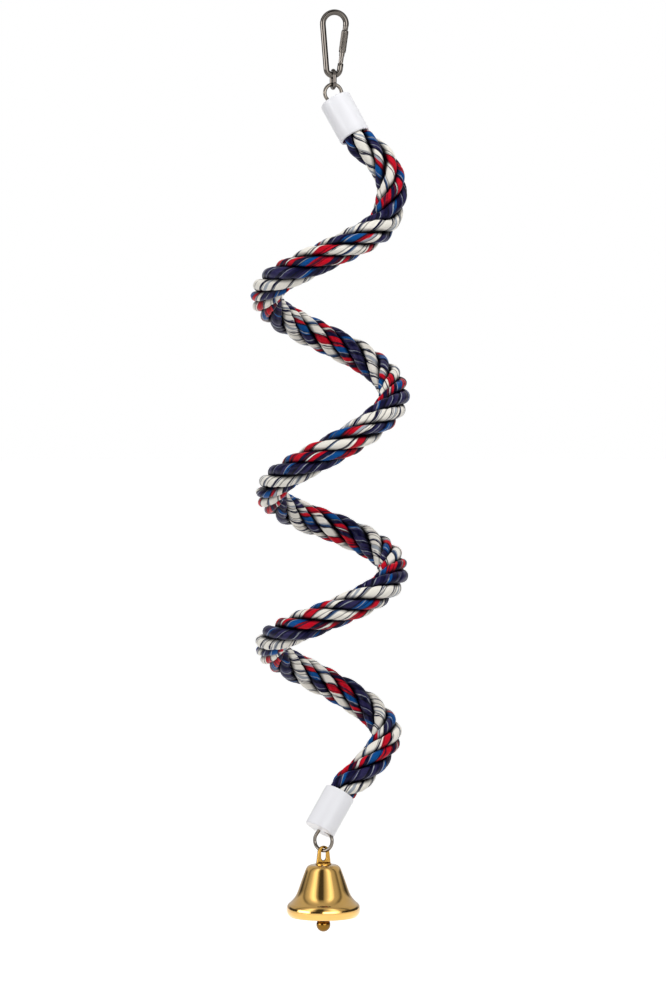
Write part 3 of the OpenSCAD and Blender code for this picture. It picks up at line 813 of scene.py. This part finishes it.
class PERCH_OT_sleeve(Operator):
    """Cut slanting grip grooves into the hook's lock sleeve"""

    bl_idname = "perch.sleeve"
    bl_label = "Lock sleeve"

    ARM_FOOT, ARM = Vector((2.993, 0, -20.036)) * MM, Vector((0.134951, 0, 0.990852))
    START, SPAN = 3.334 * MM, 9.9 * MM
    OUTER_R, BORE_R = 1.6 * MM, 1.325 * MM
    PER_GROOVE, RINGS = 10, 40
    PLAIN_SHARE = 0.09  # of the length, at each end, without grooves
    PLAIN_CUT, EDGE_CUT, WAVE_CURVE = 0.04 * MM, 0.16 * MM, 0.6

    def execute(self, context):
        m = context.scene.perch_metal
        outer_r, rings, count = self.OUTER_R, self.RINGS, m.groove_count
        bm = bmesh.new()
        bmesh.ops.create_circle(bm, segments=count * self.PER_GROOVE, radius=outer_r)
        levels, edges = [list(bm.verts)], list(bm.edges)
        for _ in range(rings):
            made = bmesh.ops.extrude_edge_only(bm, edges=edges)
            verts, edges = made_of(made, BMVert), made_of(made, BMEdge)
            bmesh.ops.translate(bm, verts=verts, vec=UP * self.SPAN / rings)
            levels.append(verts)

        def draw_in(v, factor):
            v.co.x *= factor
            v.co.y *= factor

        for k, verts in enumerate(levels):
            share = k / rings
            plain = min(share, 1 - share) < self.PLAIN_SHARE
            for v in verts:
                a = math.atan2(v.co.y, v.co.x)
                wave = abs(math.sin(count * (a - m.groove_turn * share) / 2)) ** self.WAVE_CURVE
                cut = self.PLAIN_CUT if plain else m.groove_depth * (1 - wave)
                edge = self.EDGE_CUT if k in (0, rings) else 0
                draw_in(v, (outer_r - cut - edge) / outer_r)
        top = set(edges)
        low_edges = [e for e in bm.edges if e.is_boundary and e not in top]
        for ring in (edges, low_edges):
            for v in made_of(bmesh.ops.extrude_edge_only(bm, edges=ring), BMVert):
                draw_in(v, self.BORE_R / math.hypot(v.co.x, v.co.y))
        bmesh.ops.bridge_loops(bm, edges=[e for e in bm.edges if e.is_boundary])
        bmesh.ops.recalc_face_normals(bm, faces=bm.faces)
        lean = UP.rotation_difference(self.ARM).to_matrix().to_4x4()
        bm.transform(Matrix.Translation(self.ARM_FOOT + self.ARM * self.START) @ lean)
        steel = plated_metal("grooved_nickel", m.hook, 0.09)
        sleeve = finished_piece(bm, "sleeve_grooved", "sleeve", [steel], sharp=60)
        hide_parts("lock_sleeve")
        return {"FINISHED"}


class PERCH_OT_hook(Operator):
    """Bend the hook's wire, and plate it with its gate and its rivet"""

    bl_idname = "perch.hook"
    bl_label = "Snap hook"

    LEAN, BOW_R, BEND_R, SPAN = math.radians(1.6), 5.15 * MM, 3 * MM, 20.05 * MM
    WIRE_R = 1.3 * MM
    CUT_SHARES = (0.88, 0.95)  # the wire's radius at a cut end and next to it
    BOW_PARTS, LEFT_PARTS, BEND_PARTS = 48, 8, 36
    # Stations on the right arm: down from the bow for the wire's end and the nose, up for its foot
    END_DROPS = (0.55 * MM, 0.5 * MM, 0.35 * MM, 0.15 * MM)
    NOSE_DROPS = (2.25 * MM, 2.2 * MM, 2.0 * MM, 0.5 * MM)
    NOSE_RADII = (1.1 * MM, 1.18 * MM, 1.2 * MM, 1.2 * MM)
    FOOT_RISES = (1.3 * MM, 2.6 * MM, 2.75 * MM, 2.8 * MM)
    TONGUE_R, PIN_HOLE_R, TONGUE_FOOT = 0.97 * MM, 0.5 * MM, 1.6 * MM
    TONGUE_THICK, TONGUE_RISE = 1.1 * MM, 4.3 * MM

    def execute(self, context):
        m = context.scene.perch_metal
        smoky = plated_metal("smoky_nickel", m.hook, 0.07)
        spring = plated_metal("spring_steel", m.inner, 0.25, scratch=0.1)
        lean, bow_r, bend_r, span = self.LEAN, self.BOW_R, self.BEND_R, self.SPAN
        slope = math.asin((bow_r - bend_r) / span)
        arm_l = span * math.cos(slope)

        def hook(x, z):
            top = self.WIRE_R - bow_r
            return Vector((x * math.cos(lean) + z * math.sin(lean), 0,
                           top - x * math.sin(lean) + z * math.cos(lean)))

        def arm(h):
            return hook(bend_r * math.cos(slope) + h * math.sin(slope),
                        -span - bend_r * math.sin(slope) + h * math.cos(slope))

        def arc(r, z, start, stop, parts):
            return [hook(r * math.cos(a), z + r * math.sin(a))
                    for a in (start + (stop - start) * k / parts for k in range(parts + 1))]

        path = [arm(arm_l - h) for h in self.END_DROPS]
        path += arc(bow_r, 0, -slope, math.pi + slope, self.BOW_PARTS)
        left = [path[-1], hook(-bend_r * math.cos(slope), -span - bend_r * math.sin(slope))]
        shares = [k / self.LEFT_PARTS for k in range(1, self.LEFT_PARTS)]
        path += [left[0].lerp(left[1], share) for share in shares]
        path += arc(bend_r, -span, math.pi + slope, math.tau - slope, self.BEND_PARTS)
        path += [arm(h) for h in self.FOOT_RISES]
        cut = [self.WIRE_R * share for share in self.CUT_SHARES]
        radii = cut + [self.WIRE_R] * (len(path) - 2 * len(cut)) + cut[::-1]
        across = Vector((0, 1, 0))
        bm = bmesh.new()
        swept(bm, path, radii, across)
        swept(bm, [arm(arm_l - h) for h in self.NOSE_DROPS], self.NOSE_RADII, across)
        before = set(bm.verts)
        for r in (self.TONGUE_R, self.PIN_HOLE_R):
            bmesh.ops.create_circle(bm, segments=32, radius=r)
        tongue = [v for v in bm.verts if v not in before]
        for v in tongue:
            if v.co.length > (self.TONGUE_R + self.PIN_HOLE_R) / 2 and v.co.y < 0:
                v.co.y -= self.TONGUE_FOOT
        rims = list({e for v in tongue for e in v.link_edges})
        faces = bmesh.ops.bridge_loops(bm, edges=rims)["faces"]
        made = bmesh.ops.extrude_face_region(bm, geom=faces, use_keep_orig=True)
        back = made_of(made, BMVert)
        bmesh.ops.translate(bm, verts=back, vec=UP * self.TONGUE_THICK)
        tongue += back
        bmesh.ops.translate(bm, verts=tongue, vec=UP * -self.TONGUE_THICK / 2)
        bmesh.ops.rotate(bm, verts=tongue, matrix=Matrix.Rotation(math.pi / 2, 3, "X"))
        bmesh.ops.rotate(bm, verts=tongue, matrix=Matrix.Rotation(lean + slope, 3, "Y"))
        bmesh.ops.translate(bm, verts=tongue, vec=arm(self.TONGUE_RISE))
        bmesh.ops.recalc_face_normals(bm, faces=bm.faces)
        body = finished_piece(bm, "hook_bent_wire", "carabiner", [smoky], sharp=35)
        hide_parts("carabiner_body")
        polished_copy("carabiner_gate", "gate_bored_rod", "gate", smoky)
        dress("gate_rivet", smoky)
        for node in ("gate_plunger", "gate_spring"):
            dress(node, spring)
        return {"FINISHED"}


class PERCH_OT_links(Operator):
    """Plate the chain link and the two wire eyes, and finish the steel inside the caps"""

    bl_idname = "perch.links"
    bl_label = "Link and eyes"

    def execute(self, context):
        m = context.scene.perch_metal
        nickel = plated_metal("dark_nickel", m.link, 0.08)
        polished_copy("top_link", "link_welded", "link", nickel)
        eyes = plated_metal("wire_nickel", m.eye, 0.09)
        plain = plated_metal("plain_steel", m.inner, 0.35, scratch=0.1, worn=0.7)
        polished_copy("top_eye", "eye_upper_wire", "perch", eyes)
        polished_copy("bottom_eye", "eye_lower_wire", "lower_end", eyes)
        for node in ("top_crimp", "bottom_crimp"):
            dress(node, plain)
        return {"FINISHED"}


class PERCH_OT_clapper(Operator):
    """Polish the clapper's ball and its wire"""

    bl_idname = "perch.clapper"
    bl_label = "Clapper"

    def execute(self, context):
        m = context.scene.perch_metal
        ball = plated_metal("clapper_brass", m.brass_ball, 0.2)
        polished_copy("clapper_ball", "clapper_turned_ball", "clapper", ball)
        polished_copy("clapper_wire", "clapper_bent_wire", "clapper", ball)
        return {"FINISHED"}


class PERCH_OT_stage(Operator):
    """Light the perch over a plain pale floor"""

    bl_idname = "perch.stage"
    bl_label = "Stage"

    FLOOR_HALF = 30  # metres
    FLOOR_GLOW = 0.72  # brings the lit floor to white where it is looked at
    LAMP_TARGET = Vector((0, 0, -0.2))
    # What reflections see round the room: shares of a turn from the back, and levels
    LOW_RING = [
        (0.0, 0.6), (0.1, 0.5), (0.14, 0.06), (0.25, 0.06), (0.28, 6.6), (0.37, 6.6),
        (0.39, 0.05), (0.49, 0.05), (0.51, 5.2), (0.6, 4.8), (0.65, 1.2), (0.675, 0.05),
        (0.87, 0.05), (0.92, 0.5), (1.0, 0.6),
    ]
    HIGH_RING = [
        (0.0, 0.62), (0.2, 0.62), (0.228, 0.2), (0.262, 0.55), (0.3, 0.8), (0.335, 1.5),
        (0.362, 2.1), (0.39, 1.6), (0.41, 0.6), (0.44, 0.07), (0.498, 0.07), (0.512, 0.4),
        (0.545, 0.8), (0.58, 1.6), (0.6, 2.1), (0.63, 1.5), (0.655, 0.65), (0.7, 0.55),
        (0.742, 0.15), (0.775, 0.6), (0.9, 0.62), (1.0, 0.62),
    ]
    CEILING = (0.55, 0.55, 0.56)
    RING_EDGE, CEILING_EDGE = (0.2, 0.32), (0.8, 0.97)  # heights over which one fades to the next

    def execute(self, context):
        s = context.scene.perch_stage
        scene = context.scene
        scene.view_settings.view_transform = "Standard"
        bm = bmesh.new()
        bmesh.ops.create_grid(bm, x_segments=8, y_segments=8, size=self.FLOOR_HALF)
        bmesh.ops.translate(bm, verts=bm.verts, vec=(0, 0, -s.floor_drop))
        mesh = bpy.data.meshes.new("studio_floor")
        bm.to_mesh(mesh)
        bm.free()
        floor = bpy.data.objects.new("studio_floor", mesh)
        scene.collection.objects.link(floor)
        mesh.materials.append(self.pale_floor(s))
        self.room(scene, s)
        for name, place, wide, tall, watts in (
            ("key_lamp", (0.25, -0.8, 1.15), 1.2, 0.8, s.key_power),
            ("left_lamp", (-1.3, -0.75, 0.15), 0.45, 1.3, s.fill_power),
            ("right_lamp", (1.45, -0.1, 0.2), 0.5, 1.3, s.side_power),
            ("rim_lamp", (-0.3, 1.0, 0.9), 0.7, 0.7, s.rim_power),
        ):
            lamp = bpy.data.lights.new(name, "AREA")
            lamp.shape, lamp.size, lamp.size_y, lamp.energy = "RECTANGLE", wide, tall, watts
            holder = bpy.data.objects.new(name, lamp)
            holder.location = place
            holder.visible_glossy = False
            aim = self.LAMP_TARGET - Vector(place)
            holder.rotation_euler = aim.to_track_quat("-Z", "Y").to_euler()
            scene.collection.objects.link(holder)
        return {"FINISHED"}

    def pale_floor(self, s):
        f = Finish("pale_floor")
        cloud = f.spread(f.grain(f.place(), 3.0), 0, 1)
        f.set(Base_Color=f.blend(cloud, tuple(s.floor), shade(s.floor, 0.98)), Roughness=0.9)
        path = f.add("ShaderNodeLightPath").outputs
        seen = f.sums("ADD", path["Is Camera Ray"], path["Is Glossy Ray"], True)
        seen = f.sums("ADD", seen, path["Is Transmission Ray"], True)
        glow = f.add("ShaderNodeEmission")
        f.join(f.sums("MULTIPLY", seen, self.FLOOR_GLOW), glow.inputs["Strength"])
        both = f.add("ShaderNodeAddShader")
        f.join(f.shader.outputs[0], both.inputs[0])
        f.join(glow.outputs[0], both.inputs[1])
        f.join(both.outputs[0], f.nodes["Material Output"].inputs["Surface"])
        return f.material

    def room(self, scene, s):
        """White where the camera looks; soft boxes and darker corners in reflections."""
        world = bpy.data.worlds.new("studio")
        world.use_nodes = True
        scene.world = world
        w = Wiring(world.node_tree)
        path = w.add("ShaderNodeLightPath").outputs
        where = w.add("ShaderNodeTexCoord").outputs["Generated"]
        split = w.add("ShaderNodeSeparateXYZ")
        w.join(where, split.inputs[0])
        x, y, z = split.outputs
        bearing = w.sums("ARCTAN2", x, w.sums("MULTIPLY", y, -1))
        share = w.sums("ADD", w.sums("DIVIDE", bearing, math.tau), 0.5)
        low, high = (
            w.ramp(share, [(position, (level,) * 3) for position, level in ring])
            for ring in (self.LOW_RING, self.HIGH_RING)
        )
        walls = w.blend(w.spread(z, 0, 1, *self.RING_EDGE), low, high)
        backdrop = w.blend(w.spread(z, 0, 1, *self.CEILING_EDGE), walls, self.CEILING)
        shiny = w.sums("ADD", path["Is Glossy Ray"], path["Is Transmission Ray"])
        tone = w.blend(shiny, (s.world_level,) * 3, backdrop)
        ground = w.nodes["Background"]
        w.join(w.blend(path["Is Camera Ray"], tone, (1, 1, 1)), ground.inputs["Color"])
        ground.inputs["Strength"].default_value = 1.0


MAKERS = (
    PERCH_OT_camera, PERCH_OT_rope, PERCH_OT_caps, PERCH_OT_bell, PERCH_OT_lug, PERCH_OT_sleeve,
    PERCH_OT_hook, PERCH_OT_links, PERCH_OT_clapper, PERCH_OT_stage,
)
GROUPS = {
    "perch_rope": RopeSettings, "perch_metal": MetalSettings, "perch_bell": BellSettings,
    "perch_cap": CapSettings, "perch_stage": StageSettings,
}


class PERCH_PT_builder(Panel):
    """Lists the makers of the perch's pieces and their settings"""

    bl_idname = "PERCH_PT_builder"
    bl_label = "Spiral Rope Perch"
    bl_space_type = "VIEW_3D"
    bl_region_type = "UI"
    bl_category = "Perch"

    def draw(self, context):
        column = self.layout.column(align=True)
        for maker in MAKERS:
            column.operator(maker.bl_idname)
        for name, group in GROUPS.items():
            box = self.layout.box()
            for key in group.__annotations__:
                box.prop(getattr(context.scene, name), key)


def register():
    for group in GROUPS.values():
        bpy.utils.register_class(group)
    for name, group in GROUPS.items():
        setattr(bpy.types.Scene, name, PointerProperty(type=group))
    for maker in (*MAKERS, PERCH_PT_builder):
        bpy.utils.register_class(maker)


def unregister():
    for maker in (PERCH_PT_builder, *reversed(MAKERS)):
        bpy.utils.unregister_class(maker)
    for name in GROUPS:
        delattr(bpy.types.Scene, name)
    for group in GROUPS.values():
        bpy.utils.unregister_class(group)


def main():
    register()
    bpy.ops.perch.camera()
    bpy.ops.perch.rope()
    bpy.ops.perch.caps()
    bpy.ops.perch.bell()
    bpy.ops.perch.lug()
    bpy.ops.perch.sleeve()
    bpy.ops.perch.hook()
    bpy.ops.perch.links()
    bpy.ops.perch.clapper()
    bpy.ops.perch.stage()


if __name__ == "__main__":
    main()
